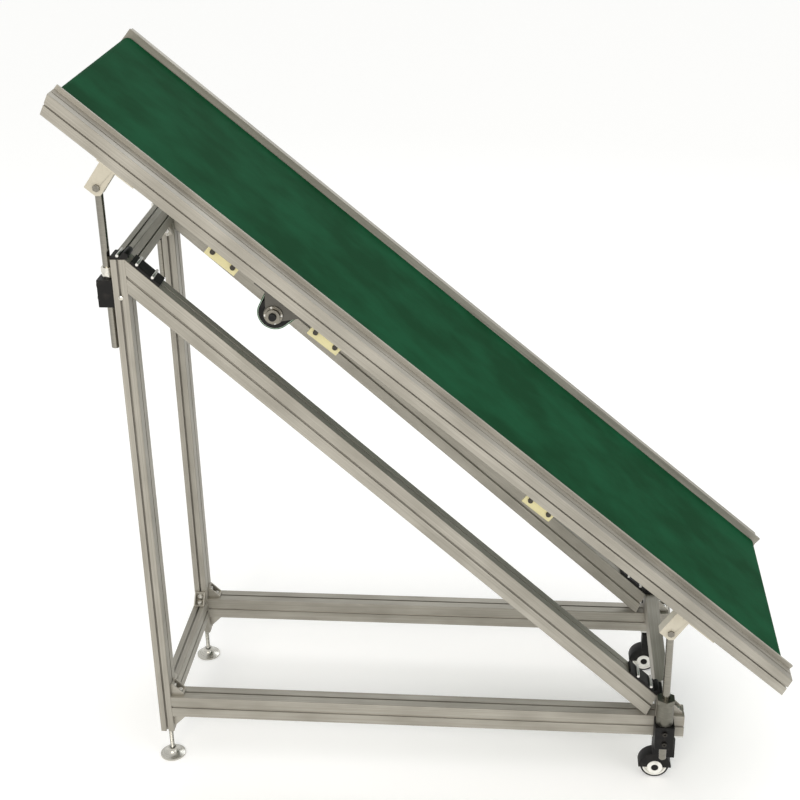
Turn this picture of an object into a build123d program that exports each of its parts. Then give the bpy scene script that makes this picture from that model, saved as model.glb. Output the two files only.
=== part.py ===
"""Inclined belt conveyor on a slotted-aluminium stand, one STEP file per piece.

Millimetres. +X runs down the slope from the tall legs to the casters, +Y runs across to the far side and
+Z is up. The origin is on the floor, midway between the outermost points of the sloping bed.
"""

from math import asin, atan2, cos, hypot, radians, sin, tan
import os

from build123d import *

NEAR_FAR = ((-1, "near"), (1, "far"))

# ---- Slotted extrusions
stand_slot = 6.5
side_rail_slot = 4.5
slot_lip = 3.0
slot_cavity = 18.0
slot_cheek = 3.0
slot_floor = 4.5
slot_depth = 10.0
profile_corner = 2.0
core_bore = 3.4

# ---- Stand
frame_width = 600.0
leg_width = 40.0
leg_depth = 70.0
leg_top = 1620.0
leg_bottom = 110.0
rail_width = 60.0
rail_height = 70.0
rail_bottom = 165.0
rail_reach = 1560.0
low_bar_offset = 1476.0

# ---- Bed
bed_angle = 40.5
bed_length = 2508.0
bed_width = 815.0
bed_start_z = 2080.0
upper_overhang = 75.0
end_rake = 14.0
side_rail = 55.0
strip_thickness = 6.0
strip_rise = 12.5
strip_bottom = -40.0

# ---- Belt and rollers, depths measured square to the top of the side rails
belt_side_gap = 6.5
belt_thickness = 3.0
belt_top = -6.0
belt_gap = 0.3
belt_inset = 2.0
end_roller_radius = 18.2
drum_radius = 42.0
drum_along = 768.0
drum_depth = 116.0
snub_radius = 17.0
snub_spread = 76.0
idler_alongs = (578.0, 912.0, 1650.0)
journal_radius = 6.0
drum_journal = 10.0
drum_journal_proud = 6.0
running_clearance = 0.05
slider_thickness = 2.0
slider_clearance = 8.0
cross_member_width = 40.0
cross_member_height = 30.0
cross_member_wall = 3.0
cross_member_alongs = (170.0, 600.0, 1030.0, 1460.0, 1890.0, 2320.0)

# ---- Drive
drive_plate_thickness = 6.0
drive_plate_margin = 15.0
drive_plate_gap = 1.0
drive_plate_waist = 56.0
drive_plate_nose = 27.0
drive_foot_width = 40.0
bearing_radius = 25.0
bearing_nose_radius = 19.0
bearing_flange = 5.0
bearing_height = 16.0

# ---- Cream brackets
bracket_plate = 5.0
idler_bracket_length = 96.0
idler_bracket_drop = 44.0
idler_bolt_shift = 32.0
idler_bolt_drop = 26.0
idler_foot_width = 40.0
pivot_ear_width = 42.0
pivot_ear_lean = 10.0
pivot_ear_below = 20.0
pivot_flange_length = 112.0
pivot_flange_edge = 5.0
ear_gap = 1.5

# ---- Lifting rods, clamp blocks and collars
rod_radius = 11.0
rod_above_bolt = 18.0
rod_chamfer = 1.5
upper_rod_offset = 16.0
upper_rod_inset = 25.0
upper_rod_bottom = 1363.0
upper_bolt_z = 1811.0
lower_rod_offset = 1500.0
lower_rod_outset = 28.0
lower_rod_bottom = 106.0
lower_bolt_z = 551.0
block_height = 76.0
upper_block_bottom = 1486.0
upper_block_depth = 43.0
upper_block_width = 50.0
lower_block_bottom = 158.0
lower_block_size = 56.0
block_edge = 2.0
clamp_screw_levels = (20.0, 56.0)
pivot_bolt_radius = 6.0
pivot_bolt_flats = 18.0
bolt_clearance = 0.1
upper_collar_radius = 15.5
upper_collar_height = 17.0
lower_collar_radius = 25.0
lower_collar_height = 72.0
collar_nut_inset = 0.5
collar_nut_height = 14.0
collar_seat_gap = 0.2

# ---- Corner brackets
corner_leg = 38.0
corner_thickness = 6.0
corner_width = 34.0
corner_rib = 4.0
corner_bolt_seat = 24.0
bolt_head_radius = 7.0
bolt_head_height = 6.0

# ---- Black pivot connectors
leaf_thickness = 8.0
leaf_width = 56.0
leaf_length = 112.0
knuckle_radius = 9.0
knuckle_rise = 9.0
leaf_gap = 0.5
pin_radius = 4.0
pin_spots = (32.0, 84.0)

# ---- Levelling feet
stud_radius = 7.0
stud_insert = 70.0
stud_clearance = 0.1
lock_nut_flats = 24.0
lock_nut_height = 11.0
pad_radius = 38.0
pad_rim = 5.0
pad_height = 26.0
pad_neck_radius = 14.0
ball_radius = 9.0
ball_floor = 2.0
ball_clearance = 0.1

# ---- Casters
caster_offset = 1514.0
caster_trail = 30.0
wheel_radius = 42.0
wheel_width = 28.0
tyre_corner = 5.0
hub_radius = 22.0
hub_width = 32.0
axle_radius = 5.0
plate_length = 92.0
plate_thickness = 5.0
race_radius = 25.0
race_height = 14.0
race_roof = 2.0
race_gap = 0.4
fork_wall = 4.0
fork_gap = 1.5
hood_thickness = 3.0
hood_gap = 3.0
axle_boss_radius = 13.0
crown_depth = 66.0
crown_extra = 34.0
crown_shift = 8.0
kingpin_radius = 6.0

# ---- Derived values
bed_cos = cos(radians(bed_angle))
bed_sin = sin(radians(bed_angle))
bed_start_x = ((side_rail - strip_rise) * bed_sin - (bed_length + end_rake) * bed_cos) / 2
leg_face = bed_start_x + upper_overhang
frame_half = frame_width / 2
bed_half = bed_width / 2
inner_face = bed_half - side_rail
strip_face = inner_face - strip_thickness
belt_half = strip_face - belt_side_gap
rail_top = rail_bottom + rail_height
low_bar_top = rail_top + leg_depth
knee_upper = (leg_face + leg_width, leg_top)
knee_lower = (leg_face + low_bar_offset, low_bar_top)
brace_run = knee_lower[0] - knee_upper[0]
brace_drop = knee_upper[1] - knee_lower[1]
brace_tilt = atan2(brace_drop, brace_run)
belt_inner = belt_top - belt_thickness
end_path_radius = end_roller_radius + belt_gap
end_roller_up = belt_inner - end_path_radius
upper_roller_along = belt_inset + belt_thickness + end_path_radius
lower_roller_along = bed_length - upper_roller_along
return_inner = end_roller_up - end_path_radius
return_outer = return_inner - belt_thickness
drum_up = -drum_depth
snub_path_radius = snub_radius + belt_gap
snub_up = return_outer - snub_path_radius
upper_rod = (leg_face - upper_rod_offset, frame_half - upper_rod_inset)
lower_rod = (leg_face + lower_rod_offset, frame_half + lower_rod_outset)


# ---- Planes and small helpers
def bed_point(along, across, up):
    """Point given down the slope, across the bed and square to it."""
    x = bed_start_x + along * bed_cos + up * bed_sin
    z = bed_start_z - along * bed_sin + up * bed_cos
    return (x, across, z)


def bed_coordinates(x, z):
    """Distance down the slope and square to the bed of a point given in X and Z."""
    along = (x - bed_start_x) * bed_cos - (z - bed_start_z) * bed_sin
    up = (x - bed_start_x) * bed_sin + (z - bed_start_z) * bed_cos
    return (along, up)


def bed_section(along):
    """Plane square to the slope: sketch x is +Y and sketch y is square to the bed."""
    return Plane(origin=bed_point(along, 0, 0), x_dir=(0, 1, 0), z_dir=(bed_cos, 0, -bed_sin))


def bed_side(side, inner, thickness):
    """Plane of a plate beside the bed; extruding by its thickness fills inner to inner + thickness."""
    across = max(side * inner, side * (inner + thickness))
    return Plane(origin=bed_point(0, across, 0), x_dir=(bed_cos, 0, -bed_sin), z_dir=(0, -1, 0))


def upright_side(side, inner, thickness):
    """The same as bed_side, with sketch x along +X and sketch y along +Z."""
    across = max(side * inner, side * (inner + thickness))
    return Plane(origin=(0, across, 0), x_dir=(1, 0, 0), z_dir=(0, -1, 0))


def polygon(plane, points):
    """Closed outline on a plane."""
    with BuildSketch(plane) as outline:
        with BuildLine():
            Polyline(*points, close=True)
        make_face()
    return outline.sketch


def box_face(plane, low, high):
    """Rectangle on a plane between two corners."""
    with BuildSketch(plane) as face:
        with Locations(((low[0] + high[0]) / 2, (low[1] + high[1]) / 2)):
            Rectangle(high[0] - low[0], high[1] - low[1])
    return face.sketch


def disc(plane, centre, radius):
    """Circle on a plane."""
    with BuildSketch(plane) as face:
        with Locations(centre):
            Circle(radius)
    return face.sketch


def hexagon(plane, centre, flats):
    """Hexagon on a plane, given across its flats, with a flat towards the sketch's x axis."""
    with BuildSketch(plane) as face:
        with Locations(centre):
            RegularPolygon(flats / 2, 6, major_radius=False, rotation=30)
    return face.sketch


def slotted_section(plane, centre, width, height, opening=stand_slot, closed=()):
    """Section of an extrusion with a core bore and a T-slot in the middle of every face not closed."""
    with BuildSketch(plane) as section:
        with Locations(centre):
            RectangleRounded(width, height, profile_corner)
            faces = ((height / 2, 0), (width / 2, 90), (height / 2, 180), (width / 2, 270))
            for reach, turn in [face for face in faces if face[1] not in closed]:
                cavity_top = reach - slot_lip
                cheek_end = cavity_top - slot_cheek
                half = [
                    (opening / 2, reach),
                    (opening / 2, cavity_top),
                    (slot_cavity / 2, cavity_top),
                    (slot_cavity / 2, cheek_end),
                    (slot_floor / 2, reach - slot_depth),
                ]
                with Locations(Location((0, 0, 0), (0, 0, turn))):
                    Polygon(*half, *[(-x, y) for x, y in reversed(half)], align=None, mode=Mode.SUBTRACT)
            Circle(core_bore, mode=Mode.SUBTRACT)
    return section.sketch


def save(builder, label):
    """Label a finished piece and write its STEP file."""
    builder.part.label = label
    export_step(builder.part, f"parts/{label}.step")


os.makedirs("parts", exist_ok=True)


# ---- Stand: legs, rails, braces and cross bars
leg_middle = leg_face + leg_width / 2
leg_across = frame_half - leg_depth / 2
rail_across = frame_half - rail_width / 2
rail_middle = rail_bottom + rail_height / 2

for side, name in NEAR_FAR:
    with BuildPart() as leg:
        foot = Plane.XY.offset(leg_bottom)
        extrude(slotted_section(foot, (leg_middle, side * leg_across), leg_width, leg_depth),
                amount=leg_top - leg_bottom)
        extrude(disc(foot, (leg_middle, side * leg_across), stud_radius + 2 * stud_clearance),
                amount=stud_insert, mode=Mode.SUBTRACT)
    save(leg, f"leg_{name}")

    with BuildPart() as base_rail:
        start = Plane(origin=(leg_face + leg_width, 0, 0), x_dir=(0, 1, 0), z_dir=(1, 0, 0))
        extrude(slotted_section(start, (side * rail_across, rail_middle), rail_width, rail_height),
                amount=rail_reach - leg_width)
    save(base_rail, f"base_rail_{name}")

    with BuildPart() as brace:
        # The section runs past both ends and is trimmed by the outline seen from the side: upright against
        # the leg, and raked at the toe so that it reaches from the low bar's top edge to the rail's top.
        slope = (cos(brace_tilt), 0, -sin(brace_tilt))
        spare = rail_height
        start = Plane(
            origin=(knee_upper[0] - spare * cos(brace_tilt), 0, knee_upper[1] + spare * sin(brace_tilt)),
            x_dir=(0, 1, 0), z_dir=slope)
        extrude(slotted_section(start, (side * rail_across, -rail_height / 2), rail_width, rail_height),
                amount=hypot(brace_run, brace_drop) + 2 * spare)
        under = rail_height / cos(brace_tilt)
        toe_x = knee_lower[0] - (under - (knee_lower[1] - rail_top)) / tan(brace_tilt)
        trim = [knee_upper, knee_lower, (toe_x, rail_top), (knee_upper[0], knee_upper[1] - under)]
        extrude(polygon(upright_side(side, frame_half - rail_width, rail_width), trim),
                amount=rail_width, mode=Mode.INTERSECT)
    save(brace, f"brace_{name}")

cross_bars = (
    ("top_cross_bar", leg_middle, leg_top - leg_depth / 2, frame_half - leg_depth, ()),
    ("base_cross_bar", leg_middle, rail_bottom + leg_depth / 2, frame_half - leg_depth, ()),
    ("low_cross_bar", knee_lower[0] + leg_width / 2, low_bar_top - leg_depth / 2, frame_half, (0, 90, 270)),
)
for name, bar_x, bar_z, bar_half, closed in cross_bars:
    with BuildPart() as cross_bar:
        middle = Plane(origin=(0, 0, 0), x_dir=(1, 0, 0), z_dir=(0, -1, 0))
        extrude(slotted_section(middle, (bar_x, bar_z), leg_width, leg_depth, closed=closed),
                amount=bar_half, both=True)
    save(cross_bar, name)


# ---- Cast corner brackets and their bolts
def corner_plane(x, y, z, first, second):
    """Plane in an inside corner, its sketch axes running out along the two faces."""
    x_dir = Vector(*first)
    return Plane(origin=(x, y, z), x_dir=x_dir, z_dir=x_dir.cross(Vector(*second)))


east, west, up, down = (1, 0, 0), (-1, 0, 0), (0, 0, 1), (0, 0, -1)
corners = []
for side, _ in NEAR_FAR:
    inward = (0, -side, 0)
    leg_inner = side * (frame_half - leg_depth)
    bar_east = knee_lower[0] + leg_width
    corners += [
        corner_plane(leg_face + leg_width, side * rail_across, rail_top, east, up),
        corner_plane(leg_face + leg_width, side * rail_across, rail_bottom, east, down),
        corner_plane(leg_middle, leg_inner, leg_top - leg_depth, inward, down),
        corner_plane(leg_middle, leg_inner, rail_bottom + leg_depth, inward, up),
        corner_plane(bar_east, side * rail_across, rail_top, east, up),
        corner_plane(knee_lower[0] + leg_width / 2, side * (frame_half - rail_width), rail_top, inward, down),
    ]

with BuildPart() as corner_brackets:
    for corner in corners:
        angle = [(0, 0), (corner_leg, 0), (corner_leg, corner_thickness),
                 (corner_thickness, corner_thickness), (corner_thickness, corner_leg), (0, corner_leg)]
        extrude(polygon(corner, angle), amount=corner_width / 2, both=True)
        rib = [(corner_thickness, corner_thickness), (corner_leg, corner_thickness),
               (corner_thickness, corner_leg)]
        for hand in (-1, 1):
            middle = corner.offset(hand * (corner_width - corner_rib) / 2)
            extrude(polygon(middle, rib), amount=corner_rib / 2, both=True)
save(corner_brackets, "corner_brackets")

with BuildPart() as corner_bolts:
    for corner in corners:
        for first, second in ((corner.x_dir, corner.y_dir), (corner.y_dir, corner.x_dir)):
            centre = corner.origin + first * corner_bolt_seat + second * corner_thickness
            head = Plane(origin=centre, z_dir=second)
            extrude(disc(head, (0, 0), bolt_head_radius), amount=bolt_head_height)
            extrude(hexagon(head.offset(bolt_head_height / 2), (0, 0), bolt_head_radius),
                    amount=bolt_head_height / 2, mode=Mode.SUBTRACT)
save(corner_bolts, "corner_bolts")


# ---- Black pivot connectors on top of the braces
def leaf_plane(knee, side, direction):
    """Plane lying on a face, starting at a knee; sketch x runs away from the knee."""
    x_dir = Vector(*direction)
    z_dir = Vector(-direction[2], 0, direction[0])
    if z_dir.Z < 0:
        z_dir = -z_dir
    return Plane(origin=(knee[0], side * rail_across, knee[1]), x_dir=x_dir, z_dir=z_dir)


down_slope = (cos(brace_tilt), 0, -sin(brace_tilt))
up_slope = (-cos(brace_tilt), 0, sin(brace_tilt))
bar_leaves = []
brace_leaves = []
for side, _ in NEAR_FAR:
    bar_leaves += [(leaf_plane(knee_upper, side, west), knee_upper, side),
                   (leaf_plane(knee_lower, side, east), knee_lower, side)]
    brace_leaves += [leaf_plane(knee_upper, side, down_slope), leaf_plane(knee_lower, side, up_slope)]

with BuildPart() as bar_leaf_group:
    for leaf, knee, side in bar_leaves:
        extrude(box_face(leaf, (0, -leaf_width / 2), (leg_width - leaf_gap, leaf_width / 2)),
                amount=leaf_thickness)
        knuckle = upright_side(side, rail_across - leaf_width / 2, leaf_width)
        extrude(disc(knuckle, (knee[0], knee[1] + knuckle_rise), knuckle_radius), amount=leaf_width)
    # Nothing of a leaf or knuckle goes below the faces it lies on.
    for side, _ in NEAR_FAR:
        for lower, knee in ((False, knee_upper), (True, knee_lower)):
            reach = leg_width
            slope_end = (knee[0] + reach, knee[1] - reach * tan(brace_tilt))
            rise_end = (knee[0] - reach, knee[1] + reach * tan(brace_tilt))
            if lower:
                waste = [knee, rise_end, (rise_end[0], knee[1] - reach), (knee[0] + reach, knee[1] - reach),
                         (knee[0] + reach, knee[1])]
            else:
                waste = [knee, slope_end, (knee[0] - reach, slope_end[1]), (knee[0] - reach, knee[1])]
            extrude(polygon(upright_side(side, frame_half - leg_depth, leg_depth), waste),
                    amount=leg_depth, mode=Mode.SUBTRACT)
    for leaf, knee, side in bar_leaves:
        spot = leg_width / 2
        extrude(box_face(leaf.offset(leaf_thickness - pin_radius / 2), (spot - pin_radius, -leaf_width / 2),
                         (spot + pin_radius, leaf_width / 2)), amount=leaf_thickness, mode=Mode.SUBTRACT)
save(bar_leaf_group, "pivot_leaves_bar")

with BuildPart() as brace_leaf_group:
    leaf_start = knuckle_radius + knuckle_rise * sin(brace_tilt) + leaf_gap
    for leaf in brace_leaves:
        extrude(box_face(leaf, (leaf_start, -leaf_width / 2), (leaf_length, leaf_width / 2)),
                amount=leaf_thickness)
        for spot in pin_spots:
            extrude(box_face(leaf.offset(leaf_thickness - pin_radius / 2),
                             (spot - pin_radius, -leaf_width / 2), (spot + pin_radius, leaf_width / 2)),
                    amount=leaf_thickness, mode=Mode.SUBTRACT)
save(brace_leaf_group, "pivot_leaves_brace")

with BuildPart() as pivot_pins:
    groove_floor = leaf_thickness - pin_radius / 2
    seats = [(leaf, leg_width / 2) for leaf, _, _ in bar_leaves]
    seats += [(leaf, spot) for leaf in brace_leaves for spot in pin_spots]
    for leaf, spot in seats:
        centre = leaf.origin + leaf.x_dir * spot + leaf.z_dir * (groove_floor + pin_radius)
        across = Plane(origin=centre, z_dir=(0, 1, 0))
        extrude(disc(across, (0, 0), pin_radius), amount=leaf_width / 2, both=True)
save(pivot_pins, "pivot_pins")


# ---- Clamp blocks for the lifting rods
def clamp_block(side, low, high, inner, width, bottom, rod):
    """Block between two X values with a running bore for a rod; returns its builder."""
    with BuildPart() as block:
        across = sorted((side * inner, side * (inner + width)))
        extrude(box_face(Plane.XY.offset(bottom), (low, across[0]), (high, across[1])), amount=block_height)
        chamfer(block.edges().filter_by(Axis.Z), block_edge)
        extrude(disc(Plane.XY.offset(bottom), (rod[0], side * rod[1]), rod_radius + running_clearance),
                amount=block_height, mode=Mode.SUBTRACT)
    return block


for side, name in NEAR_FAR:
    upper_block = clamp_block(side, leg_face - upper_block_depth, leg_face, frame_half - upper_block_width,
                              upper_block_width, upper_block_bottom, upper_rod)
    save(upper_block, f"clamp_block_upper_{name}")
    lower_block = clamp_block(side, lower_rod[0] - lower_block_size / 2, lower_rod[0] + lower_block_size / 2,
                              frame_half, lower_block_size, lower_block_bottom, lower_rod)
    save(lower_block, f"clamp_block_lower_{name}")

with BuildPart() as clamp_screws:
    for side, _ in NEAR_FAR:
        for level in clamp_screw_levels:
            upper_z = upper_block_bottom + level
            upper_face = Plane(origin=(leg_face - upper_block_depth, side * upper_rod[1], upper_z),
                               z_dir=(-1, 0, 0))
            lower_z = lower_block_bottom + level
            lower_face = Plane(origin=(lower_rod[0], side * (frame_half + lower_block_size), lower_z),
                               z_dir=(0, side, 0))
            for face in (upper_face, lower_face):
                extrude(disc(face, (0, 0), bolt_head_radius), amount=bolt_head_height)
                extrude(hexagon(face.offset(bolt_head_height / 2), (0, 0), bolt_head_radius),
                        amount=bolt_head_height / 2, mode=Mode.SUBTRACT)
save(clamp_screws, "clamp_screws")


# ---- Levelling feet
foot_centre = pad_rim + ball_radius + ball_floor
for side, name in NEAR_FAR:
    axis_y = side * leg_across
    pad_profile = Plane(origin=(leg_middle, axis_y, 0), x_dir=(1, 0, 0), z_dir=(0, -1, 0))
    with BuildPart() as foot_pad:
        with BuildSketch(pad_profile) as bell:
            with BuildLine():
                base = Polyline((0, 0), (pad_radius, 0), (pad_radius, pad_rim))
                neck = Line((pad_neck_radius, pad_height), (0, pad_height))
                Spline(base @ 1, neck @ 0, tangents=((-1, 0.35), (-0.15, 1)))
                Line(neck @ 1, base @ 0)
            make_face()
        revolve(bell.sketch, Axis((leg_middle, axis_y, 0), (0, 0, 1)))
        with BuildSketch(pad_profile) as socket:
            with BuildLine():
                wall = ball_radius + ball_clearance
                mouth = Line((0, pad_height), (wall, pad_height))
                side_wall = Line(mouth @ 1, (wall, foot_centre))
                Polyline(side_wall @ 1, (wall, foot_centre - ball_radius), (0, foot_centre - ball_radius),
                         (0, pad_height))
            make_face()
        revolve(socket.sketch, Axis((leg_middle, axis_y, 0), (0, 0, 1)), mode=Mode.SUBTRACT)
    save(foot_pad, f"foot_pad_{name}")

    with BuildPart() as foot_stud:
        with Locations((leg_middle, axis_y, foot_centre)):
            Sphere(ball_radius - ball_clearance)
        extrude(disc(Plane.XY.offset(foot_centre), (leg_middle, axis_y), stud_radius),
                amount=leg_bottom + stud_insert - 2 * ball_radius - foot_centre)
    save(foot_stud, f"foot_stud_{name}")

with BuildPart() as lock_nuts:
    for side, _ in NEAR_FAR:
        centre = (leg_middle, side * leg_across)
        underside = Plane.XY.offset(leg_bottom - lock_nut_height)
        extrude(hexagon(underside, centre, lock_nut_flats), amount=lock_nut_height)
        extrude(disc(underside, centre, stud_radius + stud_clearance), amount=lock_nut_height,
                mode=Mode.SUBTRACT)
save(lock_nuts, "foot_lock_nuts")


# ---- Casters
caster_x = leg_face + caster_offset
wheel_x = caster_x - caster_trail
plate_bottom = rail_bottom - plate_thickness
race_bottom = plate_bottom - race_height
crown_top = race_bottom - race_gap
fork_inner = hub_width / 2 + fork_gap
hood_outer = wheel_radius + hood_gap + hood_thickness

for side, name in NEAR_FAR:
    axis_y = side * rail_across
    with BuildPart() as caster_plate:
        mount = Plane.XY.offset(plate_bottom)
        extrude(box_face(mount, (caster_x - plate_length / 2, axis_y - rail_width / 2),
                         (caster_x + plate_length / 2, axis_y + rail_width / 2)), amount=plate_thickness)
        extrude(disc(Plane.XY.offset(race_bottom), (caster_x, axis_y), race_radius), amount=race_height)
        extrude(disc(Plane.XY.offset(race_bottom), (caster_x, axis_y), kingpin_radius + running_clearance),
                amount=race_height - race_roof, mode=Mode.SUBTRACT)
    save(caster_plate, f"caster_plate_{name}")

    with BuildPart() as caster_fork:
        # The hood is a shell over the rear and top of the wheel, closed by two cheeks that carry the axle.
        outside = Plane(origin=(0, axis_y, 0), x_dir=(1, 0, 0), z_dir=(0, -1, 0))
        with BuildSketch(outside) as cheek:
            with Locations((wheel_x, wheel_radius)):
                Circle(hood_outer)
            with Locations(((wheel_x + caster_x) / 2 + crown_shift, crown_top - crown_depth / 2)):
                Rectangle(caster_trail + crown_extra, crown_depth)
            with Locations((wheel_x, wheel_radius - hood_outer / 2)):
                Rectangle(3 * hood_outer, hood_outer, mode=Mode.SUBTRACT)
            with Locations((wheel_x, wheel_radius)):
                Circle(axle_boss_radius)
        extrude(cheek.sketch, amount=fork_inner + fork_wall, both=True)
        with BuildSketch(outside) as inside_room:
            with Locations((wheel_x, wheel_radius)):
                Circle(wheel_radius + hood_gap)
            with Locations((wheel_x, wheel_radius - hood_outer / 2)):
                Rectangle(2 * (wheel_radius + hood_gap), hood_outer)
        extrude(inside_room.sketch, amount=fork_inner, both=True, mode=Mode.SUBTRACT)
        extrude(disc(outside, (wheel_x, wheel_radius), axle_radius), amount=2 * hood_outer, both=True,
                mode=Mode.SUBTRACT)
        extrude(disc(Plane.XY.offset(crown_top), (caster_x, axis_y), kingpin_radius),
                amount=race_height - race_roof - race_gap)
    save(caster_fork, f"caster_fork_{name}")

    with BuildPart() as caster_wheel:
        section = Plane(origin=(wheel_x, axis_y, wheel_radius), x_dir=(0, 1, 0), z_dir=(1, 0, 0))
        with BuildSketch(section) as half:
            with BuildLine():
                tread = wheel_width / 2
                Polyline((-hub_width / 2, axle_radius + running_clearance), (-hub_width / 2, hub_radius),
                         (-tread, hub_radius), (-tread, wheel_radius - tyre_corner),
                         (tyre_corner - tread, wheel_radius), (tread - tyre_corner, wheel_radius),
                         (tread, wheel_radius - tyre_corner), (tread, hub_radius),
                         (hub_width / 2, hub_radius), (hub_width / 2, axle_radius + running_clearance),
                         close=True)
            make_face()
        revolve(half.sketch, Axis((wheel_x, axis_y, wheel_radius), (0, 1, 0)))
    save(caster_wheel, f"caster_wheel_{name}")

    with BuildPart() as caster_axle:
        across = Plane(origin=(wheel_x, axis_y, wheel_radius), x_dir=(1, 0, 0), z_dir=(0, -1, 0))
        extrude(disc(across, (0, 0), axle_radius), amount=fork_inner + fork_wall, both=True)
        for hand in (-1, 1):
            face = Plane(origin=(wheel_x, axis_y + hand * (fork_inner + fork_wall), wheel_radius),
                         z_dir=(0, hand, 0))
            extrude(hexagon(face, (0, 0), 3 * axle_radius), amount=axle_radius)
    save(caster_axle, f"caster_axle_{name}")


# ---- Bed: side rails, guard strips, slider plate and cross members
def roller_bore(builder_side, along, up, radius, inner, thickness):
    """Cut a round hole across a plate beside the bed."""
    plane = bed_side(builder_side, inner, thickness)
    extrude(disc(plane, (along, up), radius), amount=thickness, mode=Mode.SUBTRACT)


for side, name in NEAR_FAR:
    with BuildPart() as side_rail_part:
        centre = (side * (bed_half - side_rail / 2), -side_rail / 2)
        extrude(slotted_section(bed_section(0), centre, side_rail, side_rail, side_rail_slot),
                amount=bed_length + end_rake)
        raked = [(0, 0), (bed_length, 0), (bed_length + end_rake, -side_rail), (end_rake, -side_rail)]
        extrude(polygon(bed_side(side, inner_face, side_rail), raked), amount=side_rail,
                mode=Mode.INTERSECT)
    save(side_rail_part, f"side_rail_{name}")

    with BuildPart() as guard_strip:
        plane = bed_side(side, strip_face, strip_thickness)
        extrude(box_face(plane, (0, strip_bottom), (bed_length, strip_rise)), amount=strip_thickness)
        for along in (upper_roller_along, lower_roller_along):
            roller_bore(side, along, end_roller_up, journal_radius + running_clearance, strip_face,
                        strip_thickness)
    save(guard_strip, f"guard_strip_{name}")

slider_start = upper_roller_along + end_path_radius + slider_clearance
with BuildPart() as slider_plate:
    under_belt = bed_section(slider_start)
    extrude(box_face(under_belt, (-strip_face, belt_inner - slider_thickness), (strip_face, belt_inner)),
            amount=bed_length - 2 * slider_start)
save(slider_plate, "slider_plate")

with BuildPart() as cross_members:
    member_top = belt_inner - slider_thickness
    for along in cross_member_alongs:
        middle = Plane(origin=bed_point(0, 0, 0), x_dir=(bed_cos, 0, -bed_sin), z_dir=(0, -1, 0))
        with BuildSketch(middle) as tube:
            with Locations((along, member_top - cross_member_height / 2)):
                Rectangle(cross_member_width, cross_member_height)
                Rectangle(cross_member_width - 2 * cross_member_wall,
                          cross_member_height - 2 * cross_member_wall, mode=Mode.SUBTRACT)
        extrude(tube.sketch, amount=strip_face, both=True)
save(cross_members, "cross_members")


# ---- Belt
def belt_outline(depth):
    """Closed path of the belt, depth measured outward from its inner surface."""
    end_radius = end_path_radius + depth
    drum_path = drum_radius + belt_gap + depth
    snub_path = snub_path_radius + belt_thickness - depth
    drop = snub_up - drum_up
    centres = hypot(snub_spread, drop)
    # Angle of the inclined strands, from the line between the two roller centres and the cross tangent.
    lean = atan2(snub_spread, drop) - asin((drum_path + snub_path) / centres)
    first_snub = drum_along - snub_spread
    last_snub = drum_along + snub_spread
    off_snub = (snub_path * cos(lean), snub_path * sin(lean))
    off_drum = (drum_path * cos(lean), drum_path * sin(lean))
    top = end_roller_up + end_radius
    bottom = end_roller_up - end_radius
    half = radians(90) - (radians(90) - lean) / 2
    with BuildSketch(bed_side(-1, 0, 0)) as path:
        with BuildLine():
            Line((lower_roller_along, top), (upper_roller_along, top))
            ThreePointArc((upper_roller_along, top), (upper_roller_along - end_radius, end_roller_up),
                          (upper_roller_along, bottom))
            Line((upper_roller_along, bottom), (first_snub, bottom))
            snub_mid = (snub_path * cos(half), snub_path * sin(half))
            ThreePointArc((first_snub, bottom), (first_snub + snub_mid[0], snub_up + snub_mid[1]),
                          (first_snub + off_snub[0], snub_up + off_snub[1]))
            Line((first_snub + off_snub[0], snub_up + off_snub[1]),
                 (drum_along - off_drum[0], drum_up - off_drum[1]))
            ThreePointArc((drum_along - off_drum[0], drum_up - off_drum[1]),
                          (drum_along, drum_up - drum_path),
                          (drum_along + off_drum[0], drum_up - off_drum[1]))
            Line((drum_along + off_drum[0], drum_up - off_drum[1]),
                 (last_snub - off_snub[0], snub_up + off_snub[1]))
            ThreePointArc((last_snub - off_snub[0], snub_up + off_snub[1]),
                          (last_snub - snub_mid[0], snub_up + snub_mid[1]), (last_snub, bottom))
            Line((last_snub, bottom), (lower_roller_along, bottom))
            ThreePointArc((lower_roller_along, bottom), (lower_roller_along + end_radius, end_roller_up),
                          (lower_roller_along, top))
        make_face()
    return path.sketch


with BuildPart() as belt:
    extrude(belt_outline(belt_thickness), amount=belt_half, both=True)
    extrude(belt_outline(0), amount=belt_half, both=True, mode=Mode.SUBTRACT)
save(belt, "belt")


# ---- Rollers, each with a journal at both ends
def roller(along, up, radius, half_length, journal_reach, journal):
    """Roller across the bed; returns its builder."""
    middle = Plane(origin=bed_point(0, 0, 0), x_dir=(bed_cos, 0, -bed_sin), z_dir=(0, -1, 0))
    with BuildPart() as turned:
        extrude(disc(middle, (along, up), radius), amount=half_length, both=True)
        extrude(disc(middle, (along, up), journal), amount=journal_reach, both=True)
    return turned


end_reach = inner_face - belt_gap
save(roller(upper_roller_along, end_roller_up, end_roller_radius, belt_half, end_reach, journal_radius),
     "end_roller_upper")
save(roller(lower_roller_along, end_roller_up, end_roller_radius, belt_half, end_reach, journal_radius),
     "end_roller_lower")
bearing_face = inner_face + bearing_height
save(roller(drum_along, drum_up, drum_radius, belt_half, bearing_face + drum_journal_proud,
            drum_journal), "drive_drum")
for along, name in ((drum_along - snub_spread, "upper"), (drum_along + snub_spread, "lower")):
    save(roller(along, snub_up, snub_radius, belt_half, inner_face, journal_radius), f"snub_roller_{name}")
for number, along in enumerate(idler_alongs, start=1):
    save(roller(along, snub_up, snub_radius, belt_half, inner_face, journal_radius),
         f"return_idler_{number}")


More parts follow.
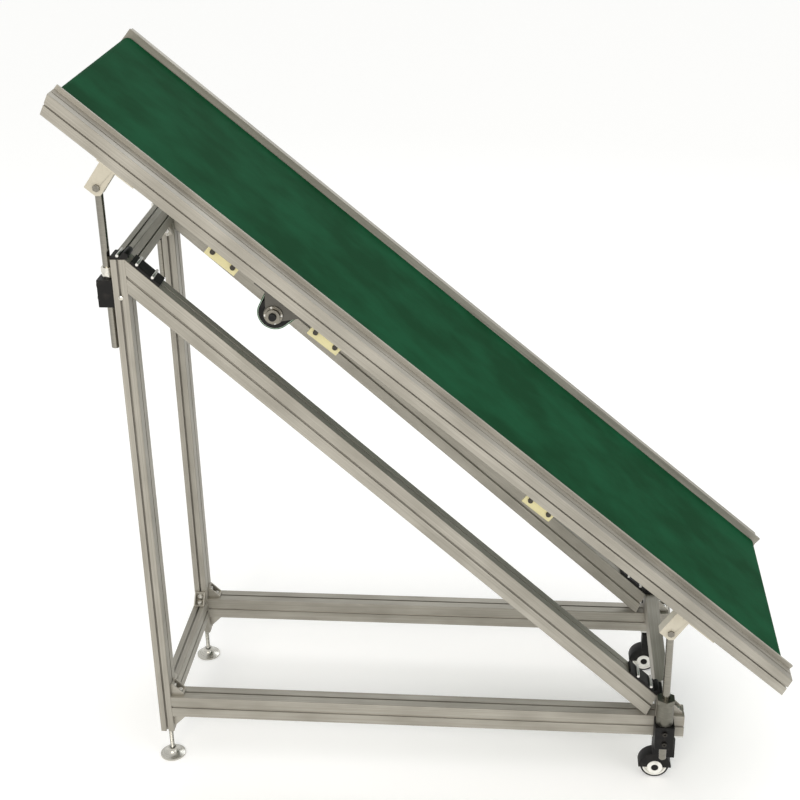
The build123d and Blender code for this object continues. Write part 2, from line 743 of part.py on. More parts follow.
# ---- Drive side plates and flange bearings
plate_top = strip_bottom - drive_plate_gap
plate_half = snub_spread + drive_plate_margin
shoulder = snub_up - drive_plate_margin
with BuildPart() as drive_plates:
    for side, _ in NEAR_FAR:
        plane = bed_side(side, strip_face, drive_plate_thickness)
        half = [(plate_half, plate_top), (plate_half, shoulder), (drive_plate_waist, shoulder),
                (drive_plate_nose, drum_up)]
        outline = [(drum_along + reach, level) for reach, level in half]
        outline += [(drum_along - reach, level) for reach, level in reversed(half)]
        extrude(polygon(plane, outline), amount=drive_plate_thickness)
        extrude(disc(plane, (drum_along, drum_up), drive_plate_nose), amount=drive_plate_thickness)
        foot = bed_side(side, inner_face, drive_foot_width)
        extrude(box_face(foot, (drum_along - plate_half, -side_rail - drive_plate_thickness),
                         (drum_along + plate_half, -side_rail)), amount=drive_foot_width)
        roller_bore(side, drum_along, drum_up, drum_journal + running_clearance, strip_face,
                    drive_plate_thickness)
        for along in (drum_along - snub_spread, drum_along + snub_spread):
            roller_bore(side, along, snub_up, journal_radius + running_clearance, strip_face,
                        drive_plate_thickness)
save(drive_plates, "drive_plates")

with BuildPart() as drive_bearings:
    for side, _ in NEAR_FAR:
        plane = bed_side(side, inner_face, bearing_height)
        wing = bed_side(side, inner_face, bearing_flange)
        extrude(disc(wing, (drum_along, drum_up), bearing_radius), amount=bearing_flange)
        extrude(disc(plane, (drum_along, drum_up), bearing_nose_radius), amount=bearing_height)
        extrude(disc(plane, (drum_along, drum_up), drum_journal + running_clearance),
                amount=bearing_height, mode=Mode.SUBTRACT)
save(drive_bearings, "drive_bearings")


# ---- Cream brackets of the return idlers
with BuildPart() as idler_brackets:
    for side, _ in NEAR_FAR:
        for along in idler_alongs:
            low, high = along - idler_bracket_length / 2, along + idler_bracket_length / 2
            leg_plane = bed_side(side, inner_face - bracket_plate, bracket_plate)
            extrude(box_face(leg_plane, (low, -side_rail - idler_bracket_drop), (high, -side_rail)),
                    amount=bracket_plate)
            foot = bed_side(side, inner_face - bracket_plate, idler_foot_width)
            extrude(box_face(foot, (low, -side_rail - bracket_plate), (high, -side_rail)),
                    amount=idler_foot_width)
            roller_bore(side, along, snub_up, journal_radius + running_clearance,
                        inner_face - bracket_plate, bracket_plate)
save(idler_brackets, "idler_brackets")

with BuildPart() as idler_bracket_bolts:
    for side, _ in NEAR_FAR:
        face = bed_side(side, inner_face, bolt_head_height)
        for along in idler_alongs:
            for shift in (-idler_bolt_shift, idler_bolt_shift):
                spot = (along + shift, -side_rail - idler_bolt_drop)
                extrude(disc(face, spot, bolt_head_radius), amount=bolt_head_height)
save(idler_bracket_bolts, "idler_bracket_bolts")


# ---- Cream pivot brackets, their bolts, the lifting rods and the collars
flange_outer = bed_half - pivot_flange_edge


def pivot_bracket(side, rod, bolt_z):
    """Channel with two ears under a side rail, added to the active part."""
    along, drop = bed_coordinates(rod[0], bolt_z)
    top = -side_rail
    half = pivot_ear_width / 2
    root = along - pivot_ear_lean
    first_ear = rod[1] - rod_radius - ear_gap - bracket_plate
    last_ear = rod[1] + rod_radius + ear_gap
    flange = bed_side(side, first_ear, flange_outer - first_ear)
    extrude(box_face(flange, (root - half - bracket_plate, top - bracket_plate),
                     (root - half - bracket_plate + pivot_flange_length, top)),
            amount=flange_outer - first_ear)
    ear = [(root - half, top - bracket_plate), (root + half, top - bracket_plate),
           (along + half, drop - pivot_ear_below / 2), (along + half / 2, drop - pivot_ear_below),
           (along - half, drop - pivot_ear_below)]
    for inner in (first_ear, last_ear):
        extrude(polygon(bed_side(side, inner, bracket_plate), ear), amount=bracket_plate)
    web = bed_side(side, first_ear, last_ear + bracket_plate - first_ear)
    heel = [(along - half - bracket_plate, drop - pivot_ear_below), (along - half, drop - pivot_ear_below),
            (root - half, top - bracket_plate), (root - half - bracket_plate, top - bracket_plate)]
    extrude(polygon(web, heel), amount=last_ear + bracket_plate - first_ear)
    extrude(disc(flange, (along, drop), pivot_bolt_radius + bolt_clearance),
            amount=flange_outer - first_ear, mode=Mode.SUBTRACT)


rod_sets = (("upper", upper_rod, upper_bolt_z, upper_rod_bottom),
            ("lower", lower_rod, lower_bolt_z, lower_rod_bottom))
for name, rod, bolt_z, rod_bottom in rod_sets:
    with BuildPart() as pivot_brackets:
        for side, _ in NEAR_FAR:
            pivot_bracket(side, rod, bolt_z)
    save(pivot_brackets, f"pivot_brackets_{name}")

    with BuildPart() as lift_rods:
        for side, _ in NEAR_FAR:
            extrude(disc(Plane.XY.offset(rod_bottom), (rod[0], side * rod[1]), rod_radius),
                    amount=bolt_z + rod_above_bolt - rod_bottom)
            cross = upright_side(side, rod[1] - rod_radius, 2 * rod_radius)
            extrude(disc(cross, (rod[0], bolt_z), pivot_bolt_radius + bolt_clearance),
                    amount=2 * rod_radius, mode=Mode.SUBTRACT)
        chamfer(lift_rods.edges().filter_by(GeomType.CIRCLE).group_by(Axis.Z)[0], rod_chamfer)
        chamfer(lift_rods.edges().filter_by(GeomType.CIRCLE).group_by(Axis.Z)[-1], rod_chamfer)
    save(lift_rods, f"lift_rods_{name}")

with BuildPart() as pivot_bolts:
    for _, rod, bolt_z, _ in rod_sets:
        shank_inner = rod[1] - rod_radius - ear_gap - bracket_plate
        shank = 2 * (rod_radius + ear_gap + bracket_plate)
        for side, _ in NEAR_FAR:
            extrude(disc(upright_side(side, shank_inner, shank), (rod[0], bolt_z), pivot_bolt_radius),
                    amount=shank)
            for inner in (shank_inner - bolt_head_height, shank_inner + shank):
                extrude(hexagon(upright_side(side, inner, bolt_head_height), (rod[0], bolt_z),
                                pivot_bolt_flats), amount=bolt_head_height)
save(pivot_bolts, "pivot_bolts")

def rod_collars(rod, block_bottom, reach, height):
    """Pair of plain collars with hexagon nuts on top, one on each rod above its clamp block."""
    seat = Plane.XY.offset(block_bottom + block_height + collar_seat_gap)
    with BuildPart() as pair:
        for side, _ in NEAR_FAR:
            centre = (rod[0], side * rod[1])
            extrude(disc(seat, centre, reach), amount=height)
            extrude(hexagon(seat.offset(height), centre, 2 * (reach - collar_nut_inset)),
                    amount=collar_nut_height)
            extrude(disc(seat, centre, rod_radius), amount=height + collar_nut_height, mode=Mode.SUBTRACT)
    return pair


save(rod_collars(upper_rod, upper_block_bottom, upper_collar_radius, upper_collar_height),
     "rod_collars_upper")
save(rod_collars(lower_rod, lower_block_bottom, lower_collar_radius, lower_collar_height),
     "rod_collars_lower")
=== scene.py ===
"""Studio scene of an inclined belt conveyor on a slotted-aluminium stand.

Every class below is one sub-assembly or one finish. Lengths are in metres unless a name ends in _mm.
"""

from __future__ import annotations

import logging
import math
from dataclasses import dataclass
from enum import Enum
from typing import Callable, Sequence

import bmesh
import bpy
from mathutils import Matrix, Vector

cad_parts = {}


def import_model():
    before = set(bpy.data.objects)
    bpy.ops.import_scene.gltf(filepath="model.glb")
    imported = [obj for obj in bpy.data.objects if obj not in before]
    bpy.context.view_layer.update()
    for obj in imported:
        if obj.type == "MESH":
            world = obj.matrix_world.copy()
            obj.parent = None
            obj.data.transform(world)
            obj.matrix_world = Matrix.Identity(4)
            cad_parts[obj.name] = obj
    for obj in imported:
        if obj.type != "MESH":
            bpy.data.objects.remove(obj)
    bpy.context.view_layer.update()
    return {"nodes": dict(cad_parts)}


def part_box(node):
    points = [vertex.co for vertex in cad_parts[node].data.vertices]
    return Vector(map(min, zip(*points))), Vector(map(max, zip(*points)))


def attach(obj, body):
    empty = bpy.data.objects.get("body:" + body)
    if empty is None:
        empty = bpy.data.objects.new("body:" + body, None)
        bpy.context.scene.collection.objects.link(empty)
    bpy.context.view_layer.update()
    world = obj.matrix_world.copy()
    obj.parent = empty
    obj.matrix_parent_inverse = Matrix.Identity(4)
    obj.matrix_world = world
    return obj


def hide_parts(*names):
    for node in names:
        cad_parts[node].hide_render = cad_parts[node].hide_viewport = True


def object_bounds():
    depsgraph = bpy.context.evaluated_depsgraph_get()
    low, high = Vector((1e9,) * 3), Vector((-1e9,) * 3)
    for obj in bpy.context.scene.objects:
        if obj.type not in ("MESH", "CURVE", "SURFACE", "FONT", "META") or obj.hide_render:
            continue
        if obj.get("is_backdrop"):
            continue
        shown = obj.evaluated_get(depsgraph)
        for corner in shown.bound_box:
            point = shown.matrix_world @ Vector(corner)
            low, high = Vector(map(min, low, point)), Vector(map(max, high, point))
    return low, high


LOG = logging.getLogger("conveyor")
MM = 0.001
# Slopes of the bed and of the braces, in degrees.
BED_SLOPE = 40.5
BRACE_SLOPE = 42.48
# Corners between faces that meet more sharply than these stay sharp, or take a softened edge.
SHARP_ANGLE = math.radians(32)
EDGE_ANGLE = math.radians(40)
# Points closer than this are one point before an edge is softened.
WELD_REACH_MM = 0.002
Profile = Sequence[tuple[float, float]]


class Side(Enum):
    """The two long sides of the machine."""

    NEAR = "near"
    FAR = "far"

    @property
    def sign(self) -> int:
        """Return -1 on the near side and 1 on the far side."""
        return -1 if self is Side.NEAR else 1


class Grain(Enum):
    """Direction in which a profile was drawn, as a turn about the Y axis or the Z axis in degrees."""

    LEVEL = (0.0, 0.0)
    ACROSS = (0.0, 90.0)
    UPRIGHT = (-90.0, 0.0)
    DOWN_BED = (BED_SLOPE, 0.0)
    DOWN_BRACE = (BRACE_SLOPE, 0.0)

    @property
    def turn(self) -> tuple[float, float, float]:
        """Return the pattern's rotation in radians, ready for a Mapping node."""
        about_y, about_z = self.value
        return (0.0, math.radians(about_y), math.radians(about_z))


# ---------------------------------------------------------------------------------------------------
# Colour, nodes and finishes
# ---------------------------------------------------------------------------------------------------


def linear(code: str) -> tuple[float, float, float, float]:
    """Turn an sRGB hex colour into linear RGBA.

    Args:
        code: Six hex digits with a leading hash sign.

    Returns:
        Red, green, blue and an alpha of one.
    """
    channels = [int(code[place : place + 2], 16) / 255 for place in (1, 3, 5)]
    red, green, blue = (c / 12.92 if c <= 0.04045 else ((c + 0.055) / 1.055) ** 2.4 for c in channels)
    return (red, green, blue, 1.0)


def add_node(
    tree: bpy.types.NodeTree, kind: str, sockets: dict[str | int, object] | None = None, **settings: object
) -> bpy.types.Node:
    """Add a shader node with its settings and links.

    Args:
        tree: Node tree that takes the node.
        kind: Blender's name of the node's type, without its ShaderNode prefix.
        sockets: Input name or number, with a value or with the output socket that feeds it.
        **settings: Properties of the node itself.

    Returns:
        The new node.
    """
    node = tree.nodes.new("ShaderNode" + kind)
    for name, value in settings.items():
        setattr(node, name, value)
    for name, value in (sockets or {}).items():
        if isinstance(value, bpy.types.NodeSocket):
            tree.links.new(value, node.inputs[name])
        else:
            node.inputs[name].default_value = value
    return node


@dataclass(frozen=True)
class Finish:
    """A surface finish; its material is built once and shared.

    Attributes:
        name: Name of the material.
        slot: The record's material slot that the finish belongs to; not used by this script.
    """

    name: str
    slot: str

    def material(self) -> bpy.types.Material:
        """Return the finish's material, building it on first use."""
        made = bpy.data.materials.get(self.name)
        if made is None:
            made = bpy.data.materials.new(self.name)
            made.use_nodes = True
            tree = made.node_tree
            tree.nodes.clear()
            add_node(tree, "OutputMaterial", {"Surface": self.surface(tree).outputs[0]})
        return made

    def surface(self, tree: bpy.types.NodeTree) -> bpy.types.Node:
        """Build the shader; every finish has its own.

        Args:
            tree: Node tree of the finish's material.

        Returns:
            The shader node.
        """
        raise NotImplementedError

    def pattern(
        self, tree: bpy.types.NodeTree, size_mm: tuple[float, float, float], grain: Grain = Grain.LEVEL
    ) -> bpy.types.NodeSocket:
        """Add coordinates in which one unit is one feature of a pattern.

        Args:
            tree: Node tree of the finish's material.
            size_mm: Feature's size along the grain and in the two directions square to it.
            grain: Direction of the pattern's first axis.

        Returns:
            The vector socket that a texture takes.
        """
        place = add_node(tree, "TexCoord")
        scale = tuple(size * MM for size in size_mm)
        sockets = {"Vector": place.outputs["Object"], "Rotation": grain.turn, "Scale": scale}
        return add_node(tree, "Mapping", sockets, vector_type="TEXTURE").outputs["Vector"]


@dataclass(frozen=True)
class AnodisedExtrusion(Finish):
    """Aluminium extrusion, drawn through a die and satin anodised.

    Attributes:
        grain: Direction in which the profile was drawn.
        light: Colour of the brighter film.
        dark: Colour of the duller film.
    """

    grain: Grain = Grain.LEVEL
    light: str = "#ACA89E"
    dark: str = "#928E84"

    def surface(self, tree: bpy.types.NodeTree) -> bpy.types.Node:
        """Build the shader; see Finish.surface."""
        # Die lines, about 0.1 mm apart on the real thing, drawn 3 mm wide so that they show.
        # They give the eye long faint streaks of brighter and duller metal along every profile.
        lines = add_node(
            tree,
            "TexNoise",
            {"Vector": self.pattern(tree, (900.0, 3.0, 3.0), self.grain), "Scale": 1.0, "Detail": 3.0},
        )
        # Clouding of the anodic film over a hand's breadth keeps long faces from looking painted.
        cloud = add_node(
            tree, "TexNoise", {"Vector": self.pattern(tree, (180.0, 60.0, 60.0), self.grain), "Scale": 1.0}
        )
        both = add_node(
            tree, "Math", {0: lines.outputs["Fac"], 1: cloud.outputs["Fac"]}, operation="MULTIPLY"
        )
        colour = add_node(tree, "ValToRGB", {"Fac": both.outputs[0]})
        colour.color_ramp.elements[0].position = 0.14
        colour.color_ramp.elements[0].color = linear(self.dark)
        colour.color_ramp.elements[1].position = 0.38
        colour.color_ramp.elements[1].color = linear(self.light)
        rough = add_node(
            tree,
            "MapRange",
            {"Value": lines.outputs["Fac"], "From Min": 0.3, "From Max": 0.7, "To Min": 0.46, "To Max": 0.62},
        )
        bump = add_node(
            tree, "Bump", {"Height": lines.outputs["Fac"], "Strength": 0.1, "Distance": 0.3 * MM}
        )
        # The clouded film scatters part of the light, so the metal is a little less than a full mirror.
        return add_node(
            tree,
            "BsdfPrincipled",
            {
                "Base Color": colour.outputs["Color"],
                "Metallic": 0.6,
                "Roughness": rough.outputs["Result"],
                "Normal": bump.outputs["Normal"],
            },
        )


@dataclass(frozen=True)
class PvcCover(Finish):
    """Green PVC belt cover, calendered to a satin face."""

    def surface(self, tree: bpy.types.NodeTree) -> bpy.types.Node:
        """Build the shader; see Finish.surface."""
        # Handling and rolling leave broad lighter patches, so the green is never one flat tone.
        patches = add_node(
            tree, "TexNoise", {"Vector": self.pattern(tree, (190.0, 150.0, 150.0), Grain.DOWN_BED),
                               "Scale": 1.0, "Detail": 4.0, "Roughness": 0.55},
        )
        colour = add_node(tree, "ValToRGB", {"Fac": patches.outputs["Fac"]})
        colour.color_ramp.elements[0].position = 0.38
        colour.color_ramp.elements[0].color = linear("#033B1E")
        colour.color_ramp.elements[1].position = 0.66
        colour.color_ramp.elements[1].color = linear("#0C4A2C")
        # The calender's print of the fabric below, 1 mm on the real belt, drawn 3 mm wide to show.
        weave = add_node(
            tree, "TexVoronoi", {"Vector": self.pattern(tree, (3.0, 3.0, 3.0), Grain.DOWN_BED), "Scale": 1.0},
        )
        bump = add_node(
            tree, "Bump", {"Height": weave.outputs["Distance"], "Strength": 0.25, "Distance": 0.2 * MM}
        )
        return add_node(
            tree,
            "BsdfPrincipled",
            {
                "Base Color": colour.outputs["Color"],
                "Roughness": 0.7,
                "IOR": 1.53,
                "Specular IOR Level": 0.04,
                "Normal": bump.outputs["Normal"],
            },
        )


@dataclass(frozen=True)
class PolyesterCarcass(Finish):
    """Polyester fabric that carries the belt, woven and impregnated."""

    def surface(self, tree: bpy.types.NodeTree) -> bpy.types.Node:
        """Build the shader; see Finish.surface."""
        # Threads 0.8 mm apart on the real fabric, drawn 2.5 mm apart, give a pale cloth-like underside.
        threads = add_node(
            tree,
            "TexWave",
            {"Vector": self.pattern(tree, (2.5, 2.5, 2.5), Grain.DOWN_BED), "Scale": 0.5, "Distortion": 1.5},
            bands_direction="Y",
        )
        colour = add_node(
            tree,
            "Mix",
            {"Factor": threads.outputs["Fac"], "A": linear("#9DB3A0"), "B": linear("#C6D2C4")},
            data_type="RGBA",
        )
        bump = add_node(
            tree, "Bump", {"Height": threads.outputs["Fac"], "Strength": 0.4, "Distance": 0.3 * MM}
        )
        return add_node(
            tree,
            "BsdfPrincipled",
            {
                "Base Color": colour.outputs["Result"],
                "Roughness": 0.8,
                "Sheen Weight": 0.2,
                "Normal": bump.outputs["Normal"],
            },
        )


@dataclass(frozen=True)
class PaintedSteel(Finish):
    """Sheet steel with a coat of powder paint or enamel.

    Attributes:
        light: Colour of the clean coat.
        dark: Colour where dust has settled.
        roughness: Roughness of the coat.
    """

    light: str = "#C8C2B2"
    dark: str = "#ACA695"
    roughness: float = 0.42

    def surface(self, tree: bpy.types.NodeTree) -> bpy.types.Node:
        """Build the shader; see Finish.surface."""
        # Orange peel 2 to 3 mm across breaks the gloss into soft dimples.
        peel = add_node(
            tree, "TexNoise", {"Vector": self.pattern(tree, (3.0, 3.0, 3.0)), "Scale": 1.0, "Detail": 2.0}
        )
        # Workshop grime settles unevenly over a few centimetres.
        dust = add_node(
            tree, "TexNoise", {"Vector": self.pattern(tree, (45.0, 45.0, 45.0)), "Scale": 1.0, "Detail": 5.0}
        )
        colour = add_node(
            tree,
            "Mix",
            {"Factor": dust.outputs["Fac"], "A": linear(self.dark), "B": linear(self.light)},
            data_type="RGBA",
        )
        bump = add_node(tree, "Bump", {"Height": peel.outputs["Fac"], "Strength": 0.15, "Distance": 0.3 * MM})
        return add_node(
            tree,
            "BsdfPrincipled",
            {
                "Base Color": colour.outputs["Result"],
                "Roughness": self.roughness,
                "Coat Weight": 0.15,
                "Normal": bump.outputs["Normal"],
            },
        )


@dataclass(frozen=True)
class BareMetal(Finish):
    """Metal left bare or plated: turned, ground, cast or rolled.

    Attributes:
        light: Colour of the brighter metal.
        dark: Colour of the duller metal.
        roughness: Mean roughness.
        spread: How far the roughness wanders to either side.
        size_mm: Size of the tooling or casting marks.
        grain: Direction of the marks.
        depth: Strength of the marks in relief.
    """

    light: str = "#CFCDC6"
    dark: str = "#A9A69E"
    roughness: float = 0.3
    spread: float = 0.08
    size_mm: tuple[float, float, float] = (4.0, 4.0, 4.0)
    grain: Grain = Grain.LEVEL
    depth: float = 0.2

    def surface(self, tree: bpy.types.NodeTree) -> bpy.types.Node:
        """Build the shader; see Finish.surface."""
        marks = add_node(
            tree,
            "TexNoise",
            {"Vector": self.pattern(tree, self.size_mm, self.grain), "Scale": 1.0, "Detail": 3.0},
        )
        colour = add_node(
            tree,
            "Mix",
            {"Factor": marks.outputs["Fac"], "A": linear(self.dark), "B": linear(self.light)},
            data_type="RGBA",
        )
        rough = add_node(
            tree,
            "MapRange",
            {
                "Value": marks.outputs["Fac"],
                "From Min": 0.3,
                "From Max": 0.7,
                "To Min": self.roughness - self.spread,
                "To Max": self.roughness + self.spread,
            },
        )
        bump = add_node(
            tree, "Bump", {"Height": marks.outputs["Fac"], "Strength": self.depth, "Distance": 0.2 * MM}
        )
        return add_node(
            tree,
            "BsdfPrincipled",
            {
                "Base Color": colour.outputs["Result"],
                "Metallic": 1.0,
                "Roughness": rough.outputs["Result"],
                "Normal": bump.outputs["Normal"],
            },
        )


@dataclass(frozen=True)
class Moulding(Finish):
    """Plastic or rubber out of a textured mould.

    Attributes:
        light: Colour where the surface is scuffed.
        dark: Colour of the body.
        roughness: Roughness of the skin.
        grit_mm: Size of the spark-eroded texture.
    """

    light: str = "#2C2C2B"
    dark: str = "#131313"
    roughness: float = 0.55
    grit_mm: float = 1.2

    def surface(self, tree: bpy.types.NodeTree) -> bpy.types.Node:
        """Build the shader; see Finish.surface."""
        # Spark-eroded mould texture, drawn about twice as coarse as real so that it dulls the gloss.
        grit = add_node(
            tree, "TexNoise", {"Vector": self.pattern(tree, (self.grit_mm,) * 3), "Scale": 1.0, "Detail": 2.0}
        )
        scuff = add_node(
            tree, "TexNoise", {"Vector": self.pattern(tree, (22.0, 22.0, 22.0)), "Scale": 1.0, "Detail": 6.0}
        )
        worn = add_node(
            tree, "MapRange", {"Value": scuff.outputs["Fac"], "From Min": 0.5, "From Max": 0.75}
        )
        colour = add_node(
            tree,
            "Mix",
            {"Factor": worn.outputs["Result"], "A": linear(self.dark), "B": linear(self.light)},
            data_type="RGBA",
        )
        bump = add_node(tree, "Bump", {"Height": grit.outputs["Fac"], "Strength": 0.3, "Distance": 0.2 * MM})
        return add_node(
            tree,
            "BsdfPrincipled",
            {
                "Base Color": colour.outputs["Result"],
                "Roughness": self.roughness,
                "Specular IOR Level": 0.25,
                "Normal": bump.outputs["Normal"],
            },
        )


@dataclass(frozen=True)
class StudioPaper(Finish):
    """Pale seamless paper under the machine.

    Attributes:
        glow: Light that the paper gives off by itself.
    """

    glow: float = 0.16

    def surface(self, tree: bpy.types.NodeTree) -> bpy.types.Node:
        """Build the shader; see Finish.surface."""
        fibre = add_node(
            tree, "TexNoise", {"Vector": self.pattern(tree, (4.0, 4.0, 4.0)), "Scale": 1.0, "Detail": 4.0}
        )
        colour = add_node(
            tree,
            "Mix",
            {"Factor": fibre.outputs["Fac"], "A": linear("#F4F4F3"), "B": linear("#FAFAF9")},
            data_type="RGBA",
        )
        # A glow of its own stands for the light box under a product table: it lifts the paper to white.
        return add_node(
            tree,
            "BsdfPrincipled",
            {
                "Base Color": colour.outputs["Result"],
                "Roughness": 0.9,
                "Specular IOR Level": 0.1,
                "Emission Color": linear("#FFFFFF"),
                "Emission Strength": self.glow,
            },
        )


# Hard skin with a faint mottle: clamp blocks and pivot leaves keep a dull black with grey scuffs.
BLACK_NYLON = Moulding("moulded_black_nylon", "black_plastic", light="#211F1D", dark="#0C0B0A")
BLACK_BLOCK = Moulding("moulded_black_block", "black_block", light="#1D1A17", dark="#090807", roughness=0.5)
# Nylon that has yellowed slightly, smooth from a polished mould.
WHITE_NYLON = Moulding(
    "moulded_white_nylon", "black_plastic", light="#C9C8C0", dark="#E6E5DF", roughness=0.35, grit_mm=3.0
)
TYRE_RUBBER = Moulding("moulded_tyre_rubber", "caster_rubber", light="#33322F", dark="#171716", roughness=0.7)
DRUM_RUBBER = Moulding("cast_drum_rubber", "roller_steel", light="#2A2A29", dark="#161616", roughness=0.75)
# A warm off-white coat, slightly dusty.
CREAM_POWDER = PaintedSteel("cream_powder_coat", "cream_paint")
# The idler brackets' coat has yellowed under the bed.
YELLOWED_POWDER = PaintedSteel("yellowed_powder_coat", "cream_paint", light="#D6CFA0", dark="#B8B085")
# Drive plates under the bed: the steel's own grey, darkened further by painted shade.
GREY_ENAMEL_PAINTED_SHADE = PaintedSteel(
    "grey_enamel_painted_shade", "grey_steel", light="#55524A", dark="#3B3933", roughness=0.5
)
# Zinc plating that has dulled to a soft warm grey.
ZINC_PLATE = BareMetal("zinc_plated_steel", "zinc_plated_steel", light="#B2AEA3", dark="#848078")
# Oil-blackened screws keep a dark brown-grey skin with a dull shine.
BLACK_OXIDE = BareMetal(
    "oil_blackened_steel", "zinc_plated_steel", light="#55524D", dark="#2E2C29", roughness=0.36
)
# Bolts that have dulled to a mid grey.
DULL_STEEL = BareMetal(
    "dulled_steel_bolt", "zinc_plated_steel", light="#9A968C", dark="#66625A", roughness=0.4
)
# Turned sleeves carry fine rings and a thin grey zinc coat.
SLEEVE_STEEL = BareMetal(
    "zinc_plated_sleeve", "zinc_plated_steel", light="#8C8A80", dark="#5A5850", roughness=0.42,
    size_mm=(25.0, 25.0, 2.0),
)
# Bright nickel-chrome, almost a mirror.
BRIGHT_PLATE = BareMetal(
    "chrome_plated_steel", "chrome", light="#E4E2DA", dark="#C9C6BC", roughness=0.2, spread=0.05, depth=0.05
)
# Centreless grinding leaves fine rings round the bar that stretch highlights along it.
GROUND_BAR = BareMetal(
    "ground_steel_bar", "ground_steel", light="#9E9B91", dark="#716E67", roughness=0.17, spread=0.05,
    size_mm=(40.0, 40.0, 1.5), depth=0.08,
)
# Lathe marks round each roller.
TURNED_STEEL = BareMetal(
    "turned_roller_steel", "roller_steel", light="#BDBBB4", dark="#8F8D86", size_mm=(30.0, 2.0, 30.0)
)
# Turned stainless is brighter than the rollers, with its rings across the stud's length.
STAINLESS = BareMetal(
    "turned_stainless_steel", "stainless_steel", light="#D2D0C8", dark="#A8A69E", size_mm=(30.0, 30.0, 2.0)
)
# Tumbled zinc-free casting with a sandy skin.
CAST_ALUMINIUM = BareMetal(
    "tumbled_cast_aluminium", "cast_aluminium", light="#C4C0B6", dark="#9C988E", roughness=0.5,
    size_mm=(2.5, 2.5, 2.5), depth=0.5,
)
# Spangle of hot-dip galvanising, crystals a thumb's width across.
GALVANISED = BareMetal(
    "galvanised_sheet", "galvanised_steel", light="#C2C4C2", dark="#9DA09F", roughness=0.42,
    size_mm=(18.0, 18.0, 18.0), depth=0.1,
)
PAPER = StudioPaper("seamless_paper", "")


def extrusion(grain: Grain) -> AnodisedExtrusion:
    """Return the anodised finish with its die lines along a direction."""
    return AnodisedExtrusion(f"anodised_extrusion_{grain.name.lower()}", "anodised_aluminium", grain)


# ---------------------------------------------------------------------------------------------------
# Meshes
# ---------------------------------------------------------------------------------------------------


def piece(name: str, shape: bmesh.types.BMesh, body: str, finish: Finish) -> bpy.types.Object:
    """Turn a finished bmesh into a piece that rides on a body.

    Args:
        name: Name of the piece.
        shape: Its mesh, which is freed.
        body: CAD body that carries it.
        finish: Finish of its first material slot.

    Returns:
        The new object.
    """
    bmesh.ops.recalc_face_normals(shape, faces=shape.faces)
    mesh = bpy.data.meshes.new(name)
    shape.to_mesh(mesh)
    shape.free()
    mesh.materials.append(finish.material())
    made = bpy.data.objects.new(name, mesh)
    bpy.context.scene.collection.objects.link(made)
    mesh.shade_smooth()
    mesh.set_sharp_from_angle(angle=SHARP_ANGLE)
    if body:
        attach(made, body)
    return made


def axis_frame(centre: Vector, axis: Vector) -> Matrix:
    """Return the matrix that puts a shape's Z axis on an axis through a point."""
    return Matrix.Translation(centre) @ axis.to_track_quat("Z", "Y").to_matrix().to_4x4()


def turn_profile(
    shape: bmesh.types.BMesh,
    profile: Profile,
    place: Matrix,
    segments: int = 48,
    relief: Callable[[float, float], float] | None = None,
) -> None:
    """Add a body of revolution to a bmesh.

    Args:
        shape: Mesh that takes the body.
        profile: Radius and height of each ring; a radius of zero closes the body.
        place: Where the body's Z axis goes.
        segments: Number of steps round the body.
        relief: Radius to add at a turn, in circles, and a height.
    """
    rings: list[list[bmesh.types.BMVert]] = []
    for radius, height in profile:
        if not radius:
            rings.append([shape.verts.new(place @ Vector((0.0, 0.0, height)))])
            continue
        ring = []
        for step in range(segments):
            turn = step / segments
            reach = radius + (relief(turn, height) if relief else 0.0)
            angle = turn * math.tau
            local = Vector((reach * math.cos(angle), reach * math.sin(angle), height))
            ring.append(shape.verts.new(place @ local))
        rings.append(ring)
    for low, high in zip(rings, rings[1:]):
        for step in range(segments):
            after = (step + 1) % segments
            corners = [low[step % len(low)], low[after % len(low)], high[after % len(high)],
                       high[step % len(high)]]
            unique = list(dict.fromkeys(corners))
            if len(unique) > 2:
                shape.faces.new(unique)


def hex_head(shape: bmesh.types.BMesh, place: Matrix, flats: float, height: float) -> None:
    """Add a hexagon head with a chamfered crown and a washer face.

    Args:
        shape: Mesh that takes the head.
        place: Seat of the head, with Z outwards.
        flats: Size across the flats.
        height: Height of the head.
    """
    corner = flats / math.sqrt(3)
    washer_radius, washer = 1.12 * corner, 0.18 * height
    turn_profile(shape, [(0, 0), (washer_radius, 0), (washer_radius, washer), (0, washer)], place, 32)
    crown_radius, crown = 0.86 * corner, 0.86 * height
    turn_profile(shape, [(0, washer), (corner, washer), (corner, crown), (crown_radius, height), (0, height)],
                 place, 6)


def button_head(shape: bmesh.types.BMesh, place: Matrix, radius: float, height: float) -> None:
    """Add a domed head with a hexagon socket.

    Args:
        shape: Mesh that takes the head.
        place: Seat of the head, with Z outwards.
        radius: Radius of the head at its seat.
        height: Height of the dome.
    """
    rim = 0.15 * height
    dome = [(0, 0), (radius, 0), (radius, rim)]
    dome += [(radius * math.cos(a), rim + (height - rim) * math.sin(a)) for a in (0.5, 0.8, 1.05)]
    socket = 0.42 * radius
    mouth = 1.15 * socket
    bottom = 0.35 * height
    turn_profile(shape, dome + [(mouth, height)], place, 36)
    turn_profile(shape, [(mouth, height), (socket, 0.98 * height), (socket, bottom), (0, bottom)], place, 6)


def rounded(outline: Profile, radius: float, steps: int = 4) -> list[tuple[float, float]]:
    """Round every corner of a closed outline.

    Args:
        outline: Corners in order.
        radius: Size cut back from each corner along its edges.
        steps: Number of points in each corner.

    Returns:
        The outline with its corners as short curves.
    """
    points = [Vector(corner) for corner in outline]
    smooth = []
    for index, corner in enumerate(points):
        before, after = points[index - 1], points[(index + 1) % len(points)]
        start = corner + (before - corner).normalized() * radius
        end = corner + (after - corner).normalized() * radius
        for step in range(steps + 1):
            t = step / steps
            at = start * (1 - t) ** 2 + corner * 2 * t * (1 - t) + end * t**2
            smooth.append((at.x, at.y))
    return smooth


